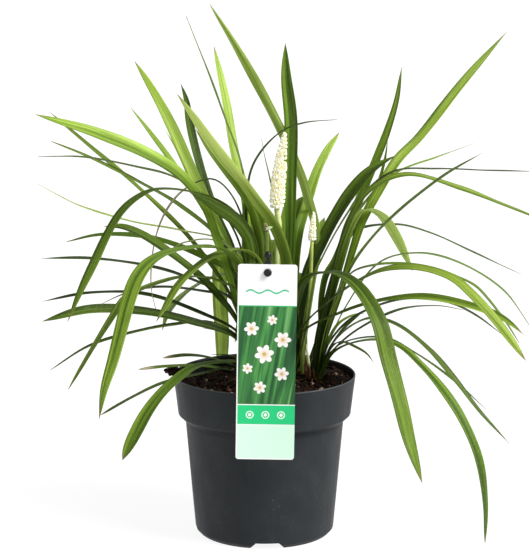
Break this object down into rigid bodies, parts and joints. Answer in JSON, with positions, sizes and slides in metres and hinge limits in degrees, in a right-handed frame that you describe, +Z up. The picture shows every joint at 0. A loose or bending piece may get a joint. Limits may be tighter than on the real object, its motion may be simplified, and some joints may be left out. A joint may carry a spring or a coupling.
{
  "type": "potted lilyturf (liriope) plant",
  "caption": "Clump of arching strap leaves with white flower spikes, rooted in peat in a round nursery pot, with a hanging plant label; an ornament that stands on its base.",
  "frame": {"origin": "on the surface the pot stands on, at the middle of the pad under the pot's floor, on the pot's axis", "axes": "+Z up along the pot's axis, -Y towards the front, where the label hangs, +X to the right seen from the front"},
  "size_m": [0.4856, 0.4039, 0.49],
  "materials": {
    "pot_plastic": "moulded dark grey plastic, slightly satin, with faint dust and scuffs",
    "peat": "moist dark brown peat, crumbly, with bark fibres and pale grains",
    "leaf": "living leaf, semi-gloss deep green above with parallel veins, paler and duller below",
    "stalk": "fleshy yellow-green flower stalk, satin",
    "petal": "waxy cream white flower buds, soft and slightly translucent",
    "label_card": "printed white plastic card, satin, in green panels without lettering",
    "peg_plastic": "black moulded plastic, satin"
  },
  "bodies": {
    "root": {"pot": "pot_plastic", "soil": "peat", "fan_left": "leaf", "fan_front_left": "leaf", "fan_front_right": "leaf", "fan_right": "leaf", "fan_back_right": "leaf", "fan_back_left": "leaf", "fan_middle": "leaf", "spike_1_stalk": "stalk", "spike_1_flowers": "petal", "spike_2_stalk": "stalk", "spike_2_flowers": "petal", "spike_3_stalk": "stalk", "spike_3_flowers": "petal", "label_card": "label_card", "label_peg": "peg_plastic"}
  },
  "joints": []
}
